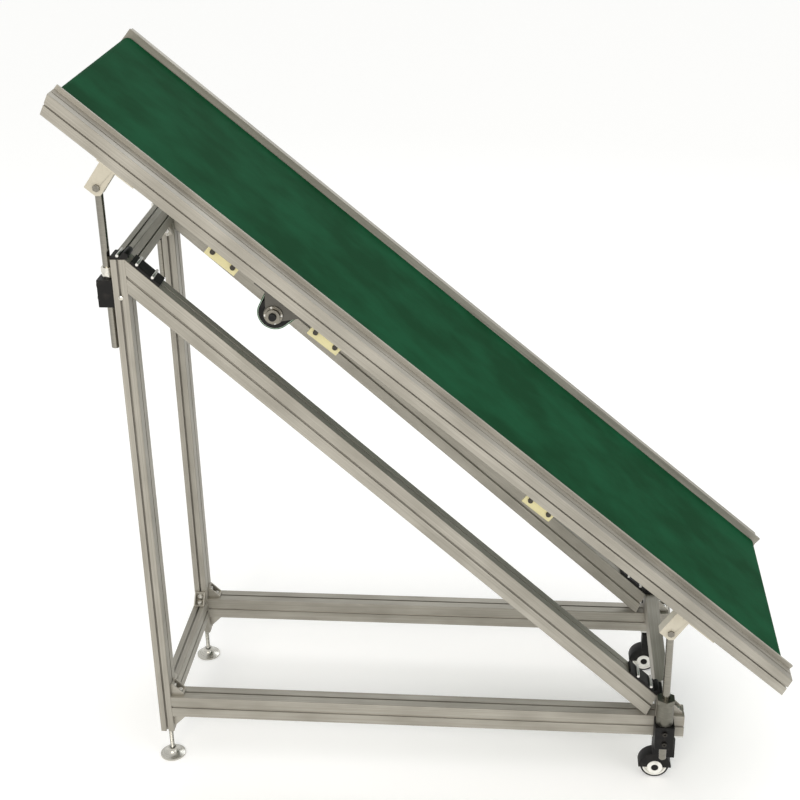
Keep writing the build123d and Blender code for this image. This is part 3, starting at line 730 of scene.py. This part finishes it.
def soften(node: bpy.types.Object, width_mm: float, segments: int = 2) -> None:
    """Give a CAD part the small edge radius that catches the light.

    Args:
        node: The part's object; its own mesh isn't touched.
        width_mm: Width of the edge.
        segments: Steps across the edge.
    """
    weld = node.modifiers.new("weld", "WELD")
    weld.merge_threshold = WELD_REACH_MM * MM
    edge = node.modifiers.new("edge", "BEVEL")
    edge.width = width_mm * MM
    edge.segments = segments
    edge.limit_method = "ANGLE"
    edge.angle_limit = EDGE_ANGLE
    edge.harden_normals = True
    edge.use_clamp_overlap = True


# ---------------------------------------------------------------------------------------------------
# Sub-assemblies
# ---------------------------------------------------------------------------------------------------


@dataclass
class Machine:
    """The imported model, looked up by name.

    Attributes:
        nodes: Object of every CAD part.
    """

    nodes: dict[str, bpy.types.Object]

    def dress(self, names: Sequence[str], finish: Finish, edge_mm: float = 0.0) -> int:
        """Give CAD parts a finish.

        Args:
            names: Parts to dress.
            finish: Their finish.
            edge_mm: Width of the softened edges, or zero to leave them sharp.

        Returns:
            How many parts were dressed.
        """
        for name in names:
            node = self.nodes[name]
            for place in node.material_slots:
                place.material = finish.material()
            if edge_mm:
                soften(node, edge_mm)
        return len(names)

    @staticmethod
    def middle(name: str) -> Vector:
        """Return the middle of a part's box."""
        low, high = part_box(name)
        return (Vector(low) + Vector(high)) / 2


@dataclass
class BedAxes:
    """Axes of the sloping bed, taken from the near side rail.

    Attributes:
        rail: Side of the square side rail.
        rake: How far the rail's upper end leans back from its underside to its top.
        angle: Slope of the bed in radians.
        drum_along: Distance down the slope of the drive drum.
        drum_up: Level of its centre.
    """

    rail: float = 0.055
    rake: float = 0.014
    angle: float = math.radians(BED_SLOPE)
    drum_along: float = 0.768
    drum_up: float = -0.116

    def point(self, along: float, across: float, up: float) -> Vector:
        """Return the place at a distance down the slope, across the bed and square to it."""
        low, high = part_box("side_rail_near")
        back = self.rail * math.sin(self.angle) - self.rake * math.cos(self.angle)
        start = Vector((low[0] + back, 0.0, high[2]))
        return start + along * self.down() + up * self.normal() + Vector((0.0, across, 0.0))

    def down(self) -> Vector:
        """Return the direction down the slope."""
        return Vector((math.cos(self.angle), 0.0, -math.sin(self.angle)))

    def normal(self) -> Vector:
        """Return the direction square to the bed, upwards."""
        return Vector((math.sin(self.angle), 0.0, math.cos(self.angle)))


@dataclass
class Stand:
    """Legs, rails, braces and cross bars with their cast corners.

    Attributes:
        bolt_radius: Radius of the button-head bolts in the legs' slots.
        bolt_height: Height of their heads.
        bolt_drop: How far below the legs' tops they sit.
    """

    machine: Machine
    bolt_radius: float = 0.0075
    bolt_height: float = 0.0042
    bolt_drop: float = 0.106

    def dress(self) -> int:
        """Dress the stand and return how many parts it has."""
        groups = {
            Grain.UPRIGHT: ["leg_near", "leg_far"],
            Grain.LEVEL: ["base_rail_near", "base_rail_far"],
            Grain.DOWN_BRACE: ["brace_near", "brace_far"],
            Grain.ACROSS: ["top_cross_bar", "base_cross_bar", "low_cross_bar"],
        }
        dress = self.machine.dress
        count = sum(dress(names, extrusion(grain), edge_mm=1.5) for grain, names in groups.items())
        count += dress(["corner_brackets"], CAST_ALUMINIUM, edge_mm=0.8)
        return count + dress(["corner_bolts"], ZINC_PLATE, edge_mm=0.5)

    def build(self) -> bpy.types.Object:
        """Build the button-head bolts high on the legs' side faces and return them."""
        shape = bmesh.new()
        for side in Side:
            low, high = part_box(f"leg_{side.value}")
            for face, outward in ((low[1], -1.0), (high[1], 1.0)):
                seat = Vector(((low[0] + high[0]) / 2, face, high[2] - self.bolt_drop))
                place = axis_frame(seat, Vector((0.0, outward, 0.0)))
                button_head(shape, place, self.bolt_radius, self.bolt_height)
        return piece("leg_bolts", shape, "stand", BRIGHT_PLATE)


@dataclass
class PivotConnectors:
    """Black hinged connectors over the knees of the braces."""

    machine: Machine

    def dress(self) -> int:
        """Dress the connectors and return how many parts they have."""
        leaves = ["pivot_leaves_bar", "pivot_leaves_brace"]
        count = self.machine.dress(leaves, BLACK_NYLON, edge_mm=1.0)
        return count + self.machine.dress(["pivot_pins"], ZINC_PLATE, edge_mm=0.6)


@dataclass
class LiftingGear:
    """Clamp blocks, rods, collars and the cream pivot brackets under the bed.

    Attributes:
        bolt_flats: Size across flats of the bolts that hold a bracket to its side rail.
        bolt_height: Height of their heads.
        flange_spots: Distance down the slope of each flange bolt, for the upper and the lower bracket.
        flange_across: Distance of the bolts from the middle of the bed.
        flange_up: Level of the flange's underside.
    """

    machine: Machine
    axes: BedAxes
    bolt_flats: float = 0.013
    bolt_height: float = 0.0053
    flange_spots: tuple[float, ...] = (0.265, 2.236)
    flange_across: float = 0.380
    flange_up: float = -0.060

    def build(self) -> bpy.types.Object:
        """Build the flange bolts and return them."""
        shape = bmesh.new()
        for side in Side:
            for along in self.flange_spots:
                seat = self.axes.point(along, side.sign * self.flange_across, self.flange_up)
                hex_head(shape, axis_frame(seat, -self.axes.normal()), self.bolt_flats, self.bolt_height)
        return piece("flange_bolts", shape, "bed", ZINC_PLATE)

    def dress(self) -> int:
        """Dress the lifting gear and return how many parts it has."""
        blocks = [f"clamp_block_{level}_{side.value}" for level in ("upper", "lower") for side in Side]
        dress = self.machine.dress
        return (
            dress(blocks, BLACK_BLOCK, edge_mm=1.0)
            + dress(["clamp_screws"], BLACK_OXIDE, edge_mm=0.6)
            + dress(["pivot_bolts"], DULL_STEEL, edge_mm=0.6)
            + dress(["lift_rods_upper", "lift_rods_lower"], GROUND_BAR)
            + dress(["rod_collars_upper"], BRIGHT_PLATE, edge_mm=1.2)
            + dress(["rod_collars_lower"], SLEEVE_STEEL, edge_mm=1.2)
            + dress(["pivot_brackets_upper", "pivot_brackets_lower"], CREAM_POWDER, edge_mm=0.8)
        )


@dataclass
class LevellingFoot:
    """One levelling foot: threaded stud with a ball end in a bell-shaped pad.

    Attributes:
        pitch: Thread pitch.
        crest: Radius over the thread.
        thread_depth: Depth of the thread.
        ball_height: Level of the ball's centre.
        ball_radius: Radius of the ball.
    """

    machine: Machine
    side: Side
    pitch: float = 0.002
    crest: float = 0.0069
    thread_depth: float = 0.0011
    ball_height: float = 0.016
    ball_radius: float = 0.0089

    def build(self) -> bpy.types.Object:
        """Build the threaded stud and return it."""
        name = f"foot_stud_{self.side.value}"
        middle = self.machine.middle(name)
        place = Matrix.Translation((middle.x, middle.y, 0.0))
        neck = self.crest - self.thread_depth
        ball = [(0.0, self.ball_height - self.ball_radius)]
        for step in range(1, 10):
            angle = -math.pi / 2 + step * math.pi / 12
            reach, rise = self.ball_radius * math.cos(angle), self.ball_radius * math.sin(angle)
            ball.append((reach, self.ball_height + rise))
        start = self.ball_height + self.ball_radius
        _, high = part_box(name)
        top = high[2]
        quarter = self.pitch / 4
        rings = [(neck, start)]
        count = int((top - start) / quarter) - 4
        rings += [(self.crest, start + 2 * quarter + n * quarter) for n in range(count)]
        rings += [(neck, top - quarter), (0.0, top)]

        def thread(turn: float, height: float) -> float:
            """Return how far the thread is cut in at a turn and a height."""
            if height < start + quarter or height > top - 1.5 * quarter:
                return 0.0
            phase = (height / self.pitch - turn) % 1.0
            return -self.thread_depth * abs(2 * phase - 1)

        shape = bmesh.new()
        turn_profile(shape, ball + rings, place, 24, thread)
        stud = piece(f"threaded_stud_{self.side.value}", shape, f"foot_{self.side.value}", STAINLESS)
        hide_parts(name)
        return stud

    def dress(self) -> int:
        """Dress the pad and return how many CAD parts the foot dresses."""
        return self.machine.dress([f"foot_pad_{self.side.value}"], STAINLESS, edge_mm=0.6)


@dataclass
class Caster:
    """One swivel caster: black hood, nylon wheel with a thin tyre, and a ringed hub.

    Attributes:
        bore: Radius of the wheel's bore.
        hub_radius: Radius of the wheel's hub.
        tyre_depth: Thickness of the tyre.
        tyre_rounding: Size cut back from the tyre's corners.
        rim_radius: Radius of the white ring on the hood's cheek.
        ring_height: Thickness of the ring.
        cap_radius: Radius of the black cap in it.
        cap_height: Height of the cap.
        cheek: Half the width over the hood's cheeks.
    """

    machine: Machine
    side: Side
    bore: float = 0.0051
    hub_radius: float = 0.020
    tyre_depth: float = 0.006
    tyre_rounding: float = 0.0035
    rim_radius: float = 0.0225
    ring_height: float = 0.003
    cap_radius: float = 0.0105
    cap_height: float = 0.0056
    cheek: float = 0.0215

    def build(self) -> list[bpy.types.Object]:
        """Build the wheel, tyre, cheek rings and hub caps and return them."""
        return self.build_wheel() + self.build_cheeks()

    def build_wheel(self) -> list[bpy.types.Object]:
        """Build the nylon wheel and its tyre and return them."""
        node = f"caster_wheel_{self.side.value}"
        body = f"wheel_{self.side.value}"
        low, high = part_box(node)
        radius = (high[2] - low[2]) / 2
        half = (high[1] - low[1]) / 2
        place = axis_frame(self.machine.middle(node), Vector((0.0, 1.0, 0.0)))
        inner = radius - self.tyre_depth
        hub = self.hub_radius
        web, lip, tread = 0.45 * half, 0.78 * half, 0.8 * half
        rim = [(self.bore, -half), (hub, -half), (hub + 0.0025, -0.85 * half), (hub + 0.006, -web),
               (inner - 0.007, -web), (inner - 0.004, -lip), (inner, -lip)]
        rim += [(r, -h) for r, h in reversed(rim)]
        shape = bmesh.new()
        turn_profile(shape, rim + [rim[0]], place, 56)
        wheel = piece(f"nylon_wheel_{self.side.value}", shape, body, WHITE_NYLON)
        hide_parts(node)
        corners_of_tyre = [(inner, -tread), (radius, -tread), (radius, tread), (inner, tread)]
        section = rounded(corners_of_tyre, self.tyre_rounding)
        shape = bmesh.new()
        turn_profile(shape, section + [section[0]], place, 72)
        return [wheel, piece(f"tyre_{self.side.value}", shape, body, TYRE_RUBBER)]

    def build_cheeks(self) -> list[bpy.types.Object]:
        """Build the rings and hub caps on the hood's cheeks and return them."""
        body = f"caster_{self.side.value}"
        middle = self.machine.middle(f"caster_wheel_{self.side.value}")
        rim, cap, top = self.rim_radius, self.cap_radius, self.ring_height
        ring = [(cap, 0), (rim, 0), (rim, top / 2), (rim - 0.002, top), (cap + 0.0015, top), (cap, 0.002)]
        edge = cap - 0.0003
        dome = [(0, 0), (edge, 0), (edge, top), (cap - 0.0025, 0.0048), (0, self.cap_height)]
        rings, caps = bmesh.new(), bmesh.new()
        for hand in (-1, 1):
            seat = axis_frame(middle + Vector((0.0, hand * self.cheek, 0.0)), Vector((0.0, hand, 0.0)))
            turn_profile(rings, ring + [ring[0]], seat, 48)
            turn_profile(caps, dome, seat, 40)
        ring_piece = piece(f"cheek_rings_{self.side.value}", rings, body, WHITE_NYLON)
        cap_piece = piece(f"hub_caps_{self.side.value}", caps, body, BLACK_NYLON)
        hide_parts(f"caster_axle_{self.side.value}")
        return [ring_piece, cap_piece]

    def dress(self) -> int:
        """Dress the hood and its plate and return how many CAD parts the caster dresses."""
        count = self.machine.dress([f"caster_fork_{self.side.value}"], BLACK_NYLON, edge_mm=1.0)
        return count + self.machine.dress([f"caster_plate_{self.side.value}"], ZINC_PLATE, edge_mm=0.5)


@dataclass
@dataclass
class Bed:
    """Side rails, guard strips, slider plate, cross members and idler brackets."""

    machine: Machine

    def dress(self) -> int:
        """Dress the bed's frame and return how many parts it has."""
        strips = [f"guard_strip_{side.value}" for side in Side]
        rails = [f"side_rail_{side.value}" for side in Side]
        dress = self.machine.dress
        return (
            dress(rails, extrusion(Grain.DOWN_BED), edge_mm=1.5)
            + dress(strips, extrusion(Grain.DOWN_BED), edge_mm=0.6)
            + dress(["cross_members"], extrusion(Grain.ACROSS))
            + dress(["slider_plate"], GALVANISED)
            + dress(["idler_brackets"], YELLOWED_POWDER, edge_mm=0.6)
            + dress(["idler_bracket_bolts"], BLACK_OXIDE, edge_mm=1.0)
        )


@dataclass
class BeltLoop:
    """Endless belt: a green cover on a pale fabric carcass, wrapped round the rollers.

    Attributes:
        half_width: Half the width of the belt.
        thickness: Thickness of cover and carcass together.
        cover: Thickness of the green cover.
        carcass_inset: How far the carcass's edges stand in from the cover's.
        gap: Room between the belt and every roller.
        upper: Distance down the slope of the upper end roller.
        lower: Distance down the slope of the lower end roller.
        end_radius: Radius of the end rollers.
        end_up: Level of their centres below the rails' top.
        drum_radius: Radius of the drive drum.
        snub_spread: Distance of the snub rollers from the drum along the slope.
        snub_radius: Radius of the snub rollers.
        end_steps: Number of steps round an end roller.
        drum_steps: Number of steps round the drum.
        snub_steps: Number of steps round a snub roller.
    """

    axes: BedAxes
    half_width: float = 0.340
    thickness: float = 0.003
    cover: float = 0.0017
    carcass_inset: float = 0.0004
    gap: float = 0.0003
    upper: float = 0.0235
    lower: float = 2.4845
    end_radius: float = 0.0182
    end_up: float = -0.0275
    drum_radius: float = 0.042
    snub_spread: float = 0.076
    snub_radius: float = 0.017
    end_steps: int = 20
    drum_steps: int = 24
    snub_steps: int = 10

    def path(self, depth: float) -> list[tuple[float, float]]:
        """Return the belt's loop at a depth outward from its inner face.

        Args:
            depth: Distance from the face that runs on the end rollers.

        Returns:
            Distance down the slope and level of each point of the loop.
        """
        end = self.end_radius + self.gap + depth
        drum = self.drum_radius + self.gap + depth
        snub = self.snub_radius + self.gap + self.thickness - depth
        top, bottom = self.end_up + end, self.end_up - end
        snub_up = bottom - snub
        along, level = self.axes.drum_along, self.axes.drum_up
        drop = snub_up - level
        reach = math.hypot(self.snub_spread, drop)
        lean = math.atan2(self.snub_spread, drop) - math.asin((drum + snub) / reach)
        quarter = math.pi / 2

        def arc(x: float, up: float, radius: float, start: float, stop: float, steps: int
                ) -> list[tuple[float, float]]:
            """Return points on an arc between two angles."""
            angles = [start + (stop - start) * n / steps for n in range(steps + 1)]
            return [(x + radius * math.cos(a), up + radius * math.sin(a)) for a in angles]

        first, last = along - self.snub_spread, along + self.snub_spread
        loop = arc(self.upper, self.end_up, end, quarter, 3 * quarter, self.end_steps)
        loop += arc(first, snub_up, snub, quarter, lean, self.snub_steps)
        loop += arc(along, level, drum, 2 * quarter + lean, 4 * quarter - lean, self.drum_steps)
        loop += arc(last, snub_up, snub, 2 * quarter - lean, quarter, self.snub_steps)
        loop += arc(self.lower, self.end_up, end, -quarter, quarter, self.end_steps)
        return loop

    def layer(self, name: str, inner: float, outer: float, edge: float, finish: Finish) -> bpy.types.Object:
        """Build one layer of the belt.

        Args:
            name: Name of the piece.
            inner: Depth of its inner face.
            outer: Depth of its outer face.
            edge: How far its edges stand in from the belt's own.
            finish: Its finish.

        Returns:
            The layer's object.
        """
        shape = bmesh.new()
        half = self.half_width - edge
        round_off = 0.25 * (outer - inner)
        section = [(inner, -half), (inner, half), (outer - round_off, half), (outer, half - round_off),
                   (outer, round_off - half), (outer - round_off, -half)]
        columns = []
        for depth, across in section:
            column = [shape.verts.new(self.axes.point(along, across, up)) for along, up in self.path(depth)]
            columns.append(column)
        count = len(columns[0])
        for left, right in zip(columns, columns[1:] + columns[:1]):
            for step in range(count):
                after = (step + 1) % count
                shape.faces.new((left[step], left[after], right[after], right[step]))
        return piece(name, shape, "bed", finish)

    def build(self) -> list[bpy.types.Object]:
        """Build the cover and the carcass and return them."""
        seam = self.thickness - self.cover
        cover = PvcCover("calendered_green_pvc", "green_pvc_belt")
        carcass = PolyesterCarcass("woven_polyester", "green_pvc_belt")
        green = self.layer("belt_cover", seam, self.thickness, 0.0, cover)
        pale = self.layer("belt_carcass", 0.0, seam, self.carcass_inset, carcass)
        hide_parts("belt")
        return [green, pale]


@dataclass
class Drive:
    """Drum, snub rollers, side plates and flange bearings under the bed.

    Attributes:
        bolt_circle: Distance of the bearing's bolts from its axis.
        bolt_turns: Where the bolts sit round the axis, in degrees.
        bolt_flats: Size across flats of the bolts.
        bolt_height: Height of their heads.
        bearing_face: Distance of the bearings' outer flange face from the middle of the bed.
    """

    machine: Machine
    axes: BedAxes
    bolt_circle: float = 0.021525
    bolt_turns: tuple[int, ...] = (40, 140, 220, 320)
    bolt_flats: float = 0.005
    bolt_height: float = 0.0026
    bearing_face: float = 0.3575

    def build(self) -> bpy.types.Object:
        """Build the bearings' bolts and return them."""
        shape = bmesh.new()
        for side in Side:
            outward = Vector((0.0, side.sign, 0.0))
            for turn in self.bolt_turns:
                along = self.axes.drum_along + self.bolt_circle * math.cos(math.radians(turn))
                up = self.axes.drum_up + self.bolt_circle * math.sin(math.radians(turn))
                seat = self.axes.point(along, side.sign * self.bearing_face, up)
                hex_head(shape, axis_frame(seat, outward), self.bolt_flats, self.bolt_height)
        return piece("bearing_bolts", shape, "bed", ZINC_PLATE)

    def dress(self) -> int:
        """Dress the drive and return how many parts it has."""
        dress = self.machine.dress
        return (
            # The side plates take a grey darkened by painted shade.
            dress(["drive_plates"], GREY_ENAMEL_PAINTED_SHADE, edge_mm=0.6)
            + dress(["drive_bearings"], DULL_STEEL, edge_mm=0.8)
            + dress(["drive_drum"], DRUM_RUBBER, edge_mm=0.8)
            + dress(["snub_roller_upper", "snub_roller_lower"], TURNED_STEEL, edge_mm=0.6)
        )


@dataclass
class Rollers:
    """End rollers and return idlers."""

    machine: Machine

    def dress(self) -> int:
        """Dress the rollers and return how many there are."""
        names = ["end_roller_upper", "end_roller_lower"] + [f"return_idler_{n}" for n in (1, 2, 3)]
        return self.machine.dress(names, TURNED_STEEL, edge_mm=0.6)


# ---------------------------------------------------------------------------------------------------
# Studio
# ---------------------------------------------------------------------------------------------------


@dataclass
class SoftBox:
    """One soft area light.

    Attributes:
        name: Name of the light.
        place: Where it stands.
        size: Width and height.
        power: Power in watts.
        tint: Colour as sRGB hex.
    """

    name: str
    place: tuple[float, float, float]
    size: tuple[float, float]
    power: float
    tint: str

    def build(self, aim: Vector) -> None:
        """Hang the light and point it at a place."""
        lamp = bpy.data.lights.new(self.name, "AREA")
        lamp.shape = "RECTANGLE"
        lamp.size, lamp.size_y = self.size
        lamp.energy = self.power
        lamp.color = linear(self.tint)[:3]
        holder = bpy.data.objects.new(self.name, lamp)
        holder.location = self.place
        holder.rotation_euler = (aim - holder.location).to_track_quat("-Z", "Y").to_euler()
        bpy.context.scene.collection.objects.link(holder)


@dataclass
class Studio:
    """Floor, lights and camera.

    Attributes:
        eye: Camera position.
        tilt: Camera rotation in degrees.
        sensor_mm: Width of the sensor.
        lens_mm: Focal length.
        reach: Furthest distance that the camera sees.
        floor_size: Side of the paper on the floor.
        aim_height: Level at which every light points, in the middle of the machine.
        sky: Brightness of the white surround.
    """

    eye: tuple[float, float, float] = (0.2343, -3.8440, 2.8910)
    tilt: tuple[float, float, float] = (65.032, 1.206, 5.130)
    sensor_mm: float = 36.0
    lens_mm: float = 66.3
    reach: float = 200.0
    floor_size: float = 60.0
    aim_height: float = 0.9
    sky: float = 0.9

    def build_camera(self) -> None:
        """Place the camera and make it the scene's."""
        data = bpy.data.cameras.new("camera")
        data.sensor_width = self.sensor_mm
        data.lens = self.lens_mm
        data.clip_end = self.reach
        camera = bpy.data.objects.new("camera", data)
        camera.location = self.eye
        camera.rotation_euler = [math.radians(turn) for turn in self.tilt]
        bpy.context.scene.collection.objects.link(camera)
        bpy.context.scene.camera = camera

    def build_floor(self) -> None:
        """Lay the pale paper under the machine."""
        shape = bmesh.new()
        bmesh.ops.create_grid(shape, x_segments=8, y_segments=8, size=self.floor_size / 2)
        floor = piece("floor", shape, "", PAPER)
        floor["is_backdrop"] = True

    def build_lights(self) -> None:
        """Hang the soft boxes and light the surround."""
        aim = Vector((0.0, 0.0, self.aim_height))
        boxes = (
            SoftBox("key", (-0.9, -5.2, 3.6), (2.6, 2.0), 120.0, "#FFF8EE"),
            SoftBox("fill", (3.6, -3.0, 2.0), (2.4, 2.4), 28.0, "#FFFFFF"),
            SoftBox("back", (1.0, 4.2, 3.8), (3.0, 1.6), 34.0, "#F6FAFF"),
        )
        for box in boxes:
            box.build(aim)
        world = bpy.data.worlds.new("surround")
        world.use_nodes = True
        tree = world.node_tree
        tree.nodes.clear()
        glow = add_node(tree, "Background", {"Color": linear("#FBFBFA"), "Strength": self.sky})
        add_node(tree, "OutputWorld", {"Surface": glow.outputs[0]})
        bpy.context.scene.world = world
        bpy.context.scene.view_settings.view_transform = "Standard"


def corners() -> list[list[float]]:
    """Return the shown object's lowest and highest corner as plain lists."""
    return [list(corner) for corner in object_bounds()]


def main() -> None:
    """Build the studio and every sub-assembly in order."""
    logging.basicConfig(level=logging.INFO, format="%(name)s: %(message)s")
    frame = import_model()
    studio = Studio()
    studio.build_camera()
    machine = Machine(frame["nodes"])
    axes = BedAxes()
    stand = Stand(machine)
    LOG.info("stand: %d parts dressed, built %s", stand.dress(), stand.build().name)
    LOG.info("pivot connectors: %d parts dressed", PivotConnectors(machine).dress())
    lifting = LiftingGear(machine, axes)
    LOG.info("lifting gear: %d parts dressed", lifting.dress())
    LOG.info("built %s", lifting.build().name)
    for side in Side:
        foot = LevellingFoot(machine, side)
        LOG.info("%s foot: %d part dressed, built %s", side.value, foot.dress(), foot.build().name)
        caster = Caster(machine, side)
        built = ", ".join(made.name for made in caster.build())
        LOG.info("%s caster: %d parts dressed, built %s", side.value, caster.dress(), built)
    machine.dress(["foot_lock_nuts"], ZINC_PLATE, edge_mm=0.8)
    LOG.info("bed: %d parts dressed", Bed(machine).dress())
    LOG.info("belt: built %s", ", ".join(made.name for made in BeltLoop(axes).build()))
    drive = Drive(machine, axes)
    LOG.info("drive: %d parts dressed, built %s", drive.dress(), drive.build().name)
    LOG.info("rollers: %d parts dressed", Rollers(machine).dress())
    studio.build_floor()
    studio.build_lights()


if __name__ == "__main__":
    main()
